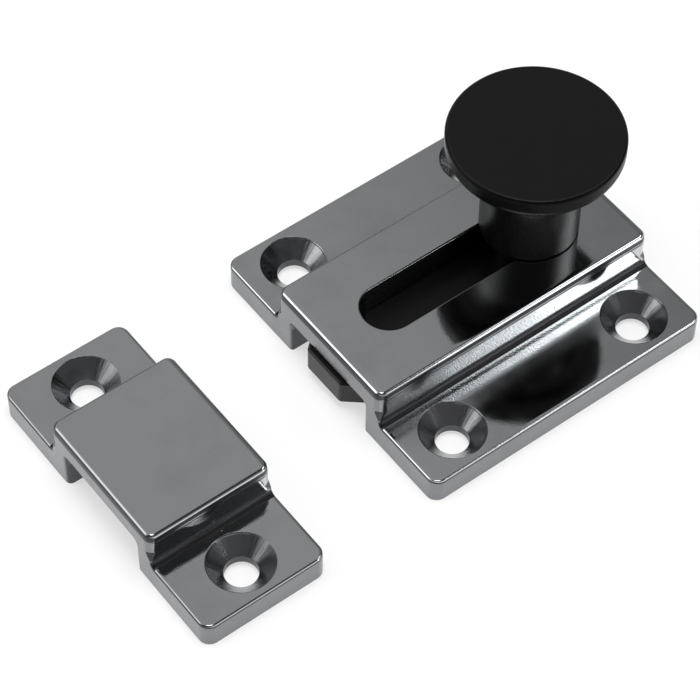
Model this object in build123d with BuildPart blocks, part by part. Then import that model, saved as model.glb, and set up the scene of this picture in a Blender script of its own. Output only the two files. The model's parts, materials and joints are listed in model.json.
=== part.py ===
from build123d import *
import math
import os

# Cupboard bolt with its keeper, in millimetres.
# +X is the way the bolt is thrown, +Y runs across the flanges, and +Z is up from the mounting face.
# The origin is the centre of the case's four screw holes, on the mounting face.
# The bolt is modelled drawn back, as it rests when the cupboard is open.

# Both castings, whose small edge roundings are drawn as chamfers
body_width = 42.4
flange_thickness = 3.8
housing_width = 20.6
plate_corner_radius = 1.5
housing_corner_radius = 1.2
foot_fillet = 0.7
housing_edge_chamfer = 0.35
flange_edge_chamfer = 0.3

# Channel below both housings
channel_height = 5.3
channel_ceiling_chamfer = 0.4

# Screw holes, for 4 mm countersunk screws
screw_hole_diameter = 4.2
countersink_diameter = 8.4
countersink_angle = 90
hole_to_end = 6.75
hole_to_side = 5.2

# Case
case_length = 42.0
case_height = 9.4
channel_width = 14.7
rear_wall = 2.4
channel_rear_radius = 1.0
mouth_chamfer = 0.4
slot_width = 7.0
slot_to_end = 5.8
slot_edge_chamfer = 0.25

# Keeper, lying in front of the case on the bolt's own line
keeper_length = 17.4
keeper_height = 9.2
keeper_distance = 15.8
keeper_channel_width = 14.2
keeper_mouth_chamfer = 0.6

# Slide, with the key that runs in the slot
slide_width = 12.4
slide_thickness = 3.8
tip_reach = 0.6
tip_flat_width = 6.6
tip_taper_length = 3.4
tip_corner_radius = 0.8
slide_edge_chamfer = 0.25
key_length = 9.6

# Knob
knob_height = 16.7
stem_radius = 6.25
stem_straight_height = 6.4
stem_foot_chamfer = 0.2
head_radius = 11.0
rim_height = 1.25
rim_edge_chamfer = 0.3
underside_radius = 1.9

# Threaded bush in the stem
bush_length = 7.0
bush_across_flats = 6.0
waist_radius = 2.75
waist_length = 2.0

# Screw that holds the knob to the slide
screw_diameter = 4.0
screw_length = 12.0
screw_tip_chamfer = 0.5
screw_head_diameter = 7.4
screw_head_height = 1.6
screw_head_chamfer = 0.5
recess_length = 4.0
recess_width = 0.9
recess_depth = 1.0

# Leaf spring that drags on the mounting surface
leaf_thickness = 0.4
leaf_width = 7.6
leaf_clamp_length = 8.4
leaf_bend_radius = 2.2
leaf_slope = 40
leaf_crest_radius = 1.6
leaf_tip_rise = 35
leaf_hole_diameter = 4.4

# Clearances
glide = 0.15
slot_side_clearance = 0.2
slot_end_clearance = 0.2
slide_rear_clearance = 0.3
screw_hole_clearance = 0.15
bush_fit = 0.02
thread_clearance = 0.05
leaf_side_clearance = 0.3
leaf_end_clearance = 0.25
surface_clearance = 0.2

# Places that follow from the sizes above
case_front = case_length / 2
hole_y = body_width / 2 - hole_to_side
hole_spacing_x = case_length - 2 * hole_to_end
slot_length = case_length - 2 * slot_to_end
keeper_x = case_front + keeper_distance + keeper_length / 2

slide_top = channel_height - glide
slide_bottom = slide_top - slide_thickness
slide_rear = -case_front + rear_wall + slide_rear_clearance
slide_front = case_front + tip_reach
key_width = slot_width - 2 * slot_side_clearance
knob_x = -slot_length / 2 + slot_end_clearance + key_length / 2
travel = slot_length - key_length - 2 * slot_end_clearance

knob_base = case_height + glide
rim_bottom = knob_base + knob_height - rim_edge_chamfer - rim_height
flare_top = rim_bottom - underside_radius
flare_bottom = knob_base + stem_straight_height
flare_radius = head_radius - underside_radius

pocket_ceiling = slide_bottom + screw_head_height + leaf_thickness
leaf_middle = pocket_ceiling - leaf_thickness / 2
screw_seat = pocket_ceiling - leaf_thickness
slope = math.radians(leaf_slope)
crest_middle = surface_clearance + leaf_thickness / 2
bend_drop = leaf_bend_radius * (1 - math.cos(slope))
crest_drop = leaf_crest_radius * (1 - math.cos(slope))
arm_drop = leaf_middle - crest_middle - bend_drop - crest_drop
leaf_rear = knob_x - leaf_clamp_length / 2
leaf_bend_start = knob_x + leaf_clamp_length / 2


def outer_casting(x_centre, length, height):
    """The outside of a casting: flanges and housing in one section along X, with rounded corners."""
    half_width = body_width / 2
    half_housing = housing_width / 2
    ledge = flange_thickness + foot_fillet
    with BuildPart() as casting:
        with BuildSketch(Plane.YZ.offset(x_centre)) as section:
            with Locations((0, flange_thickness / 2)):
                Rectangle(body_width, flange_thickness)
            with Locations((0, height / 2)):
                Rectangle(housing_width, height)
            inner_corners = section.vertices().filter_by(
                lambda v: abs(abs(v.X) - half_housing) < 0.01 and abs(v.Y - flange_thickness) < 0.01
            )
            fillet(inner_corners, foot_fillet)
        extrude(amount=length / 2, both=True)
        plate_corners = casting.edges().filter_by(Axis.Z).filter_by(
            lambda e: abs(abs(e.center().Y) - half_width) < 0.01
        )
        fillet(plate_corners, plate_corner_radius)

        # The housing's upright corners are rounded from the top of the foot fillet upwards.
        with BuildSketch(Plane.XY.offset(ledge)):
            with Locations((x_centre, 0)):
                Rectangle(length + 2, housing_width + 2)
                RectangleRounded(length, housing_width, housing_corner_radius, mode=Mode.SUBTRACT)
        extrude(amount=height, mode=Mode.SUBTRACT)

        housing_top = casting.faces().sort_by(Axis.Z)[-1]
        chamfer(housing_top.outer_wire().edges(), housing_edge_chamfer)

        flange_tops = casting.faces().filter_by(Axis.Z).filter_by(
            lambda f: abs(f.center().Z - flange_thickness) < 0.01
        )
        foot_y = half_housing + foot_fillet
        rim = flange_tops.edges().filter_by(
            lambda e: e.geom_type != GeomType.LINE or abs(abs(e.center().Y) - foot_y) > 0.01
        )
        foot_ends = casting.edges().filter_by(GeomType.CIRCLE).filter_by(
            lambda e: abs(e.radius - foot_fillet) < 0.01
            and abs(abs(e.center().X - x_centre) - length / 2) < 0.01
        )
        chamfer(rim + foot_ends, flange_edge_chamfer)
    return casting.part


def screw_holes(x_centre, spacing_x, rows):
    """Countersunk holes through both flanges, in rows across the casting."""
    with Locations((x_centre, 0, flange_thickness)):
        with GridLocations(spacing_x, 2 * hole_y, rows, 2):
            CounterSinkHole(
                screw_hole_diameter / 2,
                countersink_diameter / 2,
                counter_sink_angle=countersink_angle,
            )


case_casting = outer_casting(0, case_length, case_height)
with BuildPart() as case:
    add(case_casting)

    # Channel, open below and at the front
    channel_length = case_length - rear_wall
    with BuildSketch() as channel:
        with Locations((case_front - channel_length / 2, 0)):
            Rectangle(channel_length, channel_width)
        fillet(channel.vertices().group_by(Axis.X)[0], channel_rear_radius)
    extrude(amount=channel_height, mode=Mode.SUBTRACT)
    ceiling = case.faces().filter_by(Axis.Z).filter_by(
        lambda f: abs(f.center().Z - channel_height) < 0.01
    )
    chamfer(ceiling.edges().filter_by(lambda e: e.center().X < case_front - 0.01), channel_ceiling_chamfer)
    mouth = case.edges().filter_by(
        lambda e: abs(e.center().X - case_front) < 0.01
        and abs(e.center().Y) < channel_width / 2 + 0.01
        and 0.01 < e.center().Z < channel_height + 0.01
    )
    chamfer(mouth, mouth_chamfer)

    # Slot in the roof, along which the knob travels
    with BuildSketch(Plane.XY.offset(channel_height)):
        SlotOverall(slot_length, slot_width)
    extrude(amount=case_height, mode=Mode.SUBTRACT)
    slot_rim = case.faces().filter_by(Axis.Z).sort_by(Axis.Z)[-1].inner_wires().edges()
    chamfer(slot_rim, slot_edge_chamfer)

    screw_holes(0, hole_spacing_x, 2)

keeper_casting = outer_casting(keeper_x, keeper_length, keeper_height)
with BuildPart() as keeper:
    add(keeper_casting)

    # Channel that the bolt enters, open at both ends
    with BuildSketch(Plane.YZ.offset(keeper_x)) as bridge_gap:
        with Locations((0, channel_height / 2)):
            Rectangle(keeper_channel_width, channel_height)
        chamfer(bridge_gap.vertices().group_by(Axis.Y)[-1], channel_ceiling_chamfer)
    extrude(amount=keeper_length / 2, both=True, mode=Mode.SUBTRACT)
    mouths = keeper.edges().filter_by(
        lambda e: abs(abs(e.center().X - keeper_x) - keeper_length / 2) < 0.01
        and abs(e.center().Y) < keeper_channel_width / 2 + 0.01
        and 0.01 < e.center().Z < channel_height + 0.01
    )
    chamfer(mouths, keeper_mouth_chamfer)

    screw_holes(keeper_x, 0, 1)

with BuildPart() as bolt_slide:
    half_slide = slide_width / 2
    half_flat = tip_flat_width / 2
    shoulder = slide_front - tip_taper_length
    with BuildSketch(Plane.XY.offset(slide_bottom)) as outline:
        with BuildLine():
            Polyline(
                (slide_rear, -half_slide),
                (shoulder, -half_slide),
                (slide_front, -half_flat),
                (slide_front, half_flat),
                (shoulder, half_slide),
                (slide_rear, half_slide),
                close=True,
            )
        make_face()
        fillet(outline.vertices(), tip_corner_radius)
    extrude(amount=slide_thickness)
    chamfer(bolt_slide.faces().sort_by(Axis.Z)[0].outer_wire().edges(), slide_edge_chamfer)
    chamfer(bolt_slide.faces().sort_by(Axis.Z)[-1].outer_wire().edges(), slide_edge_chamfer)

    # Key, from the slide up to the foot of the knob
    with BuildSketch(Plane.XY.offset(slide_top)):
        with Locations((knob_x, 0)):
            SlotOverall(key_length, key_width)
    extrude(amount=knob_base - slide_top)

    # Pocket below, for the leaf and the head of the screw
    pocket_width = leaf_width + 2 * leaf_side_clearance
    leaf_run = leaf_bend_radius * math.sin(slope) + arm_drop / math.tan(slope)
    crest_run = leaf_crest_radius * (math.sin(slope) + math.sin(math.radians(leaf_tip_rise)))
    leaf_front = leaf_bend_start + leaf_run + crest_run + leaf_thickness / 2
    pocket_rear = leaf_rear - leaf_end_clearance
    pocket_front = leaf_front + leaf_end_clearance
    with BuildSketch(Plane.XY.offset(slide_bottom)):
        with Locations(((pocket_rear + pocket_front) / 2, 0)):
            Rectangle(pocket_front - pocket_rear, pocket_width)
    extrude(amount=pocket_ceiling - slide_bottom, mode=Mode.SUBTRACT)
    with Locations((knob_x, 0, knob_base)):
        Hole(screw_diameter / 2 + screw_hole_clearance)

with BuildPart() as knob_insert:
    with BuildSketch(Plane.XY.offset(knob_base)):
        with Locations((knob_x, 0)):
            RegularPolygon(bush_across_flats / 2, 6, major_radius=False)
    extrude(amount=bush_length)
    with BuildSketch(Plane.XY.offset(knob_base + (bush_length - waist_length) / 2)):
        with Locations((knob_x, 0)):
            RegularPolygon(bush_across_flats, 6, major_radius=False)
            Circle(waist_radius, mode=Mode.SUBTRACT)
    extrude(amount=waist_length, mode=Mode.SUBTRACT)
    with Locations((knob_x, 0, knob_base + bush_length)):
        Hole(screw_diameter / 2 + thread_clearance)

with BuildPart() as knob:
    with BuildSketch(Plane.XZ) as knob_profile:
        with BuildLine():
            foot = Line((knob_x, knob_base), (knob_x + stem_radius, knob_base))
            stem = Line(foot @ 1, (knob_x + stem_radius, flare_bottom))
            flare = EllipticalCenterArc(
                (knob_x + flare_radius, flare_bottom),
                flare_radius - stem_radius,
                flare_top - flare_bottom,
                start_angle=90,
                arc_size=90,
            )
            underside = JernArc((knob_x + flare_radius, flare_top), (1, 0), underside_radius, 90)
            rim_side = Line(underside @ 1, (knob_x + head_radius, rim_bottom + rim_height))
            rim_edge = Line(
                rim_side @ 1, (knob_x + head_radius - rim_edge_chamfer, knob_base + knob_height)
            )
            top = Line(rim_edge @ 1, (knob_x, knob_base + knob_height))
            Line(top @ 1, foot @ 0)
        make_face()
        foot_corner = knob_profile.vertices().filter_by(
            lambda v: abs(v.X - knob_x - stem_radius) < 0.01 and abs(v.Y - knob_base) < 0.01
        )
        chamfer(foot_corner, stem_foot_chamfer)
    revolve(axis=Axis((knob_x, 0, 0), (0, 0, 1)))

    # Seat of the bush: two hexagonal ends and the waist between them
    end_length = (bush_length - waist_length) / 2
    for seat_bottom in (knob_base, knob_base + end_length + waist_length):
        with BuildSketch(Plane.XY.offset(seat_bottom)):
            with Locations((knob_x, 0)):
                RegularPolygon(bush_across_flats / 2 + bush_fit, 6, major_radius=False)
        extrude(amount=end_length, mode=Mode.SUBTRACT)
    with BuildSketch(Plane.XY.offset(knob_base)):
        with Locations((knob_x, 0)):
            Circle(waist_radius + bush_fit)
    extrude(amount=bush_length, mode=Mode.SUBTRACT)

with BuildPart() as knob_screw:
    with BuildSketch(Plane.XY.offset(screw_seat - screw_head_height)):
        with Locations((knob_x, 0)):
            Circle(screw_head_diameter / 2)
    extrude(amount=screw_head_height)
    chamfer(knob_screw.edges().group_by(Axis.Z)[0], screw_head_chamfer)
    with BuildSketch(Plane.XY.offset(screw_seat)):
        with Locations((knob_x, 0)):
            Circle(screw_diameter / 2)
    extrude(amount=screw_length)
    chamfer(knob_screw.edges().group_by(Axis.Z)[-1], screw_tip_chamfer)
    with BuildSketch(Plane.XY.offset(screw_seat - screw_head_height)):
        with Locations((knob_x, 0)):
            Rectangle(recess_length, recess_width)
            Rectangle(recess_width, recess_length)
    extrude(amount=recess_depth, mode=Mode.SUBTRACT)

with BuildPart() as friction_spring:
    with BuildSketch(Plane.XZ):
        with BuildLine():
            clamped = Line((leaf_rear, leaf_middle), (leaf_bend_start, leaf_middle))
            bend = JernArc(clamped @ 1, clamped % 1, leaf_bend_radius, -leaf_slope)
            arm = PolarLine(bend @ 1, arm_drop / math.sin(slope), -leaf_slope)
            JernArc(arm @ 1, arm % 1, leaf_crest_radius, leaf_slope + leaf_tip_rise)
        trace(line_width=leaf_thickness)
    extrude(amount=leaf_width / 2, both=True)
    with Locations((knob_x, 0, pocket_ceiling)):
        Hole(leaf_hole_diameter / 2, depth=leaf_thickness)

print("travel", round(travel, 3), "knob at x", round(knob_x, 3), "keeper at x", round(keeper_x, 3))
print("screw holes", round(hole_spacing_x, 3), "by", round(2 * hole_y, 3))

os.makedirs("parts", exist_ok=True)
pieces = {
    "case": case,
    "keeper": keeper,
    "bolt_slide": bolt_slide,
    "knob": knob,
    "knob_insert": knob_insert,
    "knob_screw": knob_screw,
    "friction_spring": friction_spring,
}
for piece_name, piece in pieces.items():
    piece.part.label = piece_name
    export_step(piece.part, f"parts/{piece_name}.step")
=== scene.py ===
"""Looks of a cupboard bolt: plated castings, moulded knob and slide, screw, bush and spring."""

import json
import math
from functools import partialmethod

import bpy
import numpy as np
from bpy.props import FloatProperty, FloatVectorProperty, IntProperty, PointerProperty
from mathutils import Matrix, Vector
from mathutils.geometry import tessellate_polygon


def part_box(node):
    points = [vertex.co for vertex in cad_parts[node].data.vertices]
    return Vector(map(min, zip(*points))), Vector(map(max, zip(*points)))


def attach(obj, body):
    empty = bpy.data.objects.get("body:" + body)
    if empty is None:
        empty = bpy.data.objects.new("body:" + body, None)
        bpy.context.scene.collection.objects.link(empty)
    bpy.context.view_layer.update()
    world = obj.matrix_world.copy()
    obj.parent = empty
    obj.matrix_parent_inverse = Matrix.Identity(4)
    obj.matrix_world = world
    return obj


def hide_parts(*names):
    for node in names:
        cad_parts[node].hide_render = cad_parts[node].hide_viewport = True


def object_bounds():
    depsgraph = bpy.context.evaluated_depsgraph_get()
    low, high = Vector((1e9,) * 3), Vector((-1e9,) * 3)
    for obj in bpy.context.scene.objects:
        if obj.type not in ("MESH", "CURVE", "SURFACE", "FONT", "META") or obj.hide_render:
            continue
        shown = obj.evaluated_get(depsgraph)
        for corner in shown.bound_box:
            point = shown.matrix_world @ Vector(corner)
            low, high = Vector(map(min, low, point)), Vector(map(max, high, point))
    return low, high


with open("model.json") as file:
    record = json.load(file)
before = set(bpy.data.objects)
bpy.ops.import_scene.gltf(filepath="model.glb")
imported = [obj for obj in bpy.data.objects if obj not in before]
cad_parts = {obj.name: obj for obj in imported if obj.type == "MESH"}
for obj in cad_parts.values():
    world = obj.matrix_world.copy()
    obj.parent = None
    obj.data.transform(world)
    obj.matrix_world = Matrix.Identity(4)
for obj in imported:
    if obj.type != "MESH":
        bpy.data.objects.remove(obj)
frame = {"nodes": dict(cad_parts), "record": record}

bl_info = {
    "name": "Cupboard bolt",
    "version": (1, 0, 0),
    "blender": (4, 5, 0),
    "location": "3D View > Sidebar > Cupboard bolt",
    "description": "Builds the surfaces, the finish and the studio of a sliding cupboard bolt",
    "category": "Object",
}

MM = 0.001
CAD_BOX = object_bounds()
MOUNTS = {mount["name"]: mount for mount in frame["record"]["mounts"]}

# Places closer than this are one vertex.
WELD = 1e-6
# Shifts the weld's cells off the round numbers that most sizes are.
WELD_SHIFT = 0.37
# Turn of the normal along each stretch that polishing has bent beside an edge.
EDGE_LEAN = math.radians(7.5)

# Radii at which the knob's top and the screw's face close with a small flat.
KNOB_CORE, SCREW_CORE = 0.5 * MM, 0.02 * MM
# Thickness of the soft wall of the screw's recess.
RECESS_WALL = 0.06 * MM
# Steps in a countersink's edge and in the head's, rings in the screw's face, rows in a turn of thread.
HOLE_EDGE_STEPS, HEAD_STEPS, FACE_RINGS, ROWS_PER_TURN = 3, 8, 90, 10

# Along the bolt, the case's looks end and the keeper's start between these places.
CASE_END, KEEPER_START = (24 * MM, 25 * MM), (30 * MM, 31 * MM)
# Heights between which the knob's stem gives way to its head.
HEAD_START = (17 * MM, 20 * MM)
# Depths of the relief in the plating, in the plastic and in the machined metals, in metres.
WAVES, DIP, GRAIN, PITS, SPARKS, TOOL_MARKS = 6e-6, 3e-5, 5e-6, 9e-6, 1.1e-5, 5e-5
PLASTIC_GRAIN, FINE_MARKS = 2.6e-5, 1e-6
# Flat share of a pit's radius.
PIT_CORE = 0.4
# Countersinks: chatter marks around, their slant, and rings per metre of height with their share.
CHATTER, CHATTER_SLANT, RINGS, RING_SHARE = 7.0, 60.0, 6000.0, 0.12
# Places of a Mix node's two values and its result, for numbers and for colours.
MIX_SOCKETS = {"FLOAT": (2, 3, 0), "RGBA": (6, 7, 2)}

# Directions to the soft box and to the lamp as the metal mirrors it, and the soft box's width.
BOX_WAY, LAMP_WAY = Vector((0.68, -0.48, 0.56)), Vector((0.05, 0.10, 0.99))
BOX_SPREAD = 0.045
# Half the floor's width, and how far it lies below the mounting face, in metres.
FLOOR_HALF, FLOOR_SINK = 5.0, 5e-5
WHITE = (1.0, 1.0, 1.0, 1.0)


def number(name, description, default, **options):
    """A plain number for the panel."""
    return FloatProperty(name=name, description=description, default=default, **{"min": 0, **options})


def length(name, description, default_mm):
    """A length for the panel, in metres, given in millimetres."""
    return number(name, description, default_mm * MM, precision=5, unit="LENGTH")


def count(name, description, default):
    """A number of steps for the panel."""
    return IntProperty(name=name, description=description, default=default, min=3)


def triple(name, description, default, **options):
    """A place or a colour for the panel."""
    return FloatVectorProperty(name=name, description=description, default=default, size=3, **options)


def colour(name, description, default):
    """A linear colour for the panel."""
    return triple(name, description, default, subtype="COLOR", min=0, max=1)


class CastingSettings(bpy.types.PropertyGroup):
    """Sizes that the case and the keeper share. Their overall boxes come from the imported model."""

    flange: length("Flange", "Thickness of the flanges", 3.8)
    housing_width: length("Housing width", "Width of the housing across the bolt", 20.6)
    plate_corner: length("Plate corner", "Upright rounding of the flanges' corners", 1.5)
    housing_corner: length("Housing corner", "Upright rounding of the housing's corners", 1.2)
    housing_edge: length("Housing edge", "Tight rounding around the housing's top", 0.55)
    flange_edge: length("Flange edge", "Tight rounding around the flanges' tops", 0.3)
    ease_side: length("Side ease", "Stretch of a side that polishing has bent below an edge", 1.2)
    ease_top: length("Top ease", "Stretch of the top that polishing has bent beside an edge", 0.5)
    ease_flange: length("Flange ease", "Stretches bent by polishing on the flanges", 0.3)
    foot: length("Foot", "Hollow between the housing and the flanges", 0.7)
    corner_blend: length("Corner blend", "Height over which a corner grows above the foot", 1.6)
    channel_height: length("Channel height", "Height of the channel below the housing", 5.3)
    channel_corner: length("Channel corner", "Hollow along the channel's ceiling", 0.5)
    case_channel: length("Case channel", "Width of the case's channel", 14.7)
    keeper_channel: length("Keeper channel", "Width of the keeper's channel", 14.2)
    case_mouth: length("Case mouth", "Rounding around the case's mouth", 0.5)
    keeper_mouth: length("Keeper mouth", "Rounding around the keeper's mouths", 0.8)
    rear_wall: length("Rear wall", "Thickness of the case behind the channel", 2.4)
    rear_hollow: length("Rear hollow", "Hollow at the closed end of the channel", 0.45)
    slot_length: length("Slot length", "Length of the slot in the case's roof", 30.4)
    slot_width: length("Slot width", "Width of the slot in the case's roof", 7.0)
    slot_edge: length("Slot edge", "Rounding around the slot", 0.25)
    countersink: length("Countersink", "Radius of a countersink at the flange's top", 4.2)
    hole_edge: length("Hole edge", "Rounding of a countersink's two edges", 0.12)
    hole_foot: length("Hole foot", "Chamfer that clears a hole's lower edge", 0.6)
    steps: count("Rounding steps", "Faces in a quarter turn of a rounding", 8)
    hole_steps: count("Hole steps", "Faces around a screw hole", 72)


class KnobSettings(bpy.types.PropertyGroup):
    """Sizes of the knob's profile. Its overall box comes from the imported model."""

    stem: length("Stem", "Radius of the straight stem", 6.25)
    stem_height: length("Stem height", "Straight height of the stem above its foot", 6.4)
    rim_height: length("Rim height", "Upright part of the head's edge", 1.1)
    rim_round: length("Rim rounding", "Rounding between the edge and the top", 0.5)
    underside: length("Underside", "Rounding under the edge of the head", 1.9)
    foot_round: length("Foot rounding", "Rounding at the foot of the stem", 0.22)
    dish: length("Dish", "Sink of the top's middle as the moulding cooled", 0.06)
    seat_flats: length("Bush seat", "Width across flats of the seat for the bush", 6.04)
    seat_depth: length("Bush seat depth", "Depth of the seat for the bush", 7.0)
    around: count("Steps around", "Faces around the knob", 192)
    steps: count("Rounding steps", "Faces in a quarter turn of a rounding", 12)


class ScrewSettings(bpy.types.PropertyGroup):
    """Sizes of the screw that holds the knob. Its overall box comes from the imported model."""

    shank: length("Shank", "Radius over the thread's crests", 2.0)
    head_height: length("Head height", "Height of the head", 1.6)
    head_round: length("Head rounding", "Rounding at the edge of the head", 0.6)
    pitch: length("Pitch", "Pitch of the thread", 0.7)
    thread_depth: length("Thread depth", "Depth of the thread", 0.38)
    recess_reach: length("Recess reach", "Reach of the cross recess from the middle", 2.0)
    recess_width: length("Recess width", "Half the width of an arm of the recess", 0.45)
    recess_depth: length("Recess depth", "Depth of the cross recess", 1.0)
    around: count("Steps around", "Faces around the screw", 96)


class FinishSettings(bpy.types.PropertyGroup):
    """Colours of the finishes."""

    polished: colour("Polished plating", "Chrome on the polished faces", (0.592, 0.608, 0.618))
    # Painted shade: this darker chrome on the ends and edges stands for the dim floor they mirror; as cast
    # they are rougher too
    satin_and_shade: colour("Satin plating", "Chrome on the ends and edges as cast", (0.235, 0.24, 0.25))
    # Painted shade: nearly black, it darkens the foot's hollow, a band below each edge, the channel, the
    # holes' walls, the slot's rim and the front of the case's walls, and tints small smudges
    recess: colour("Recessed plating", "Chrome that no polishing reaches", (0.034, 0.034, 0.036))
    plastic: colour("Plastic", "Moulded knob and slide", (0.0026, 0.0026, 0.0029))
    bush: colour("Bush", "Brass of the bush in the knob", (0.62, 0.43, 0.17))
    screw: colour("Screw", "Zinc plating of the screw", (0.56, 0.57, 0.58))
    spring: colour("Spring", "Rolled steel strip", (0.30, 0.30, 0.31))


class StageSettings(bpy.types.PropertyGroup):
    """Camera, lamps, sky and floor."""

    camera_place: triple(
        "Camera", "Where the camera stands", (0.14429, 0.16461, 0.28150), subtype="TRANSLATION",
        unit="LENGTH",
    )
    camera_target: triple(
        "Target", "Point of the mounting plane in the middle of the picture", (0.01514, -0.00314, 0.0),
        subtype="TRANSLATION", unit="LENGTH",
    )
    camera_roll: number(
        "Roll", "Turn of the camera about its view", math.radians(0.57), min=-math.pi, subtype="ANGLE"
    )
    camera_lens: number("Lens", "Focal length for a 36 mm sensor, in millimetres", 146.25, min=1)
    lamp_radius: length("Lamp radius", "Radius of the lamp overhead", 300)
    lamp_height: length("Lamp height", "Height of the lamp overhead", 1000)
    lamp_radiance: number("Lamp", "Brightness of the lamp overhead", 8.0)
    wall_radiance: number("Wall", "Brightness of the wall behind the camera's left", 0.35)
    shade_radiance: number("Shade", "Brightness of the dark side of the studio", 0.035)
    key_radiance: number("Soft box", "Brightness of the soft box in front of the bolt", 2.8)
    disk_radiance: number("Lamp as mirrored", "Brightness of the lamp overhead in the metal", 3.5)
    haze_radiance: number("Haze", "Brightness of the dark side below the strip", 0.13)
    horizon_radiance: number("Low screen", "Brightness of the low screen on the shade side", 7.0)
    strip_radiance: number("Strip", "Brightness of the narrow strip behind the bolt", 4.0)
    floor: colour("Floor", "Pale floor", (0.90, 0.90, 0.90))
    floor_glow: number(
        "Floor glow", "Share of plain white in the floor as it is seen", 0.6, max=1, subtype="FACTOR"
    )


def turned(start, end, steps):
    """Angles from start to end, in degrees, as radians."""
    return np.radians(np.linspace(start, end, steps + 1))


def arc_rows(centre, radii, angles, hollow=False):
    """Profile rows on an ellipse: distance and height are centre + radii * (cos a, sin a).

    A row is distance, height and the normal's two parts. The normal points away from the ellipse's
    centre, or towards it where the arc is hollow. A circle's radii are one number.
    """
    way = np.column_stack([np.cos(angles), np.sin(angles)])
    normals = way / np.array(radii)
    normals /= np.linalg.norm(normals, axis=1)[:, None]
    return np.hstack([np.array(centre) + way * radii, -normals if hollow else normals])


def line_rows(start, end, normal):
    """Two profile rows for a straight stretch."""
    return np.array([[*start, *normal], [*end, *normal]])


def brow_rows(reach, top, radius, ease_side, ease_top, steps):
    """Profile rows of a polished edge, whose curvature is low, high and low again.

    The normal climbs from level to upright: by EDGE_LEAN along the side's ease, by most of the quarter
    turn around the radius, and by EDGE_LEAN along the top's ease. Each step goes its own length across
    its mean normal, and the whole profile starts at the reach and ends at the top's height.
    """
    quarter = math.pi / 2
    half = steps // 2
    angles = np.concatenate([
        np.linspace(0, EDGE_LEAN, half + 1), np.linspace(EDGE_LEAN, quarter - EDGE_LEAN, steps + 1)[1:],
        np.linspace(quarter - EDGE_LEAN, quarter, half + 1)[1:],
    ])
    lengths = np.repeat(
        [ease_side / half, radius * (quarter - 2 * EDGE_LEAN) / steps, ease_top / half], [half, steps, half]
    )
    mean = (angles[1:] + angles[:-1]) / 2
    walk = np.column_stack([-np.sin(mean), np.cos(mean)]) * lengths[:, None]
    places = np.vstack([np.zeros((1, 2)), walk.cumsum(0)])
    places += (reach, top - places[-1, 1])
    return np.hstack([places, np.column_stack([np.cos(angles), np.sin(angles)])])


def path_of(*stretches):
    """Joins stretches of a path, each a centre and the directions that leave it."""
    centres = [np.tile(centre, (len(angles), 1)) for centre, angles in stretches]
    angles = np.concatenate([angles for _, angles in stretches])
    return np.vstack(centres), np.column_stack([np.cos(angles), np.sin(angles)])


def arch_path(reach, foot, spring, steps):
    """A path up one side, around two quarter turns and down the other side."""
    return path_of(
        ((reach, foot), turned(0, 0, 0)), ((reach, spring), turned(0, 90, steps)),
        ((-reach, spring), turned(90, 180, steps)), ((-reach, foot), turned(180, 180, 0)),
    )


def cut_path(path, start, end):
    """Part of a path."""
    return path[0][start:end], path[1][start:end]


def closed_path(path):
    """The path with its first place again at the end."""
    return tuple(np.vstack([part, part[:1]]) for part in path)


def carry(path, rows, axes=(0, 1, 2)):
    """Carries a profile along a path: place = centre + distance * direction, at the row's height.

    The path lies in the plane of the first two axes and the heights run along the third. Returns the
    grid of places and the grid of normals.
    """
    centres, ways = path
    places = np.empty((len(rows), len(ways), 3))
    normals = np.empty_like(places)
    flat = centres[None] + rows[:, None, :1] * ways[None]
    places[..., axes[0]], places[..., axes[1]] = flat[..., 0], flat[..., 1]
    places[..., axes[2]] = rows[:, None, 1]
    leaning = rows[:, None, 2:3] * ways[None]
    normals[..., axes[0]], normals[..., axes[1]] = leaning[..., 0], leaning[..., 1]
    normals[..., axes[2]] = rows[:, None, 3]
    return places, normals


def loop_at(path, row):
    """The loop of places that one profile row makes along a path."""
    return carry(path, np.atleast_2d(row))[0][0]


def stacked(*parts):
    """Arrays and numbers of matching shapes, as the parts of a new last axis."""
    return np.stack(np.broadcast_arrays(*parts), -1)


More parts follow.
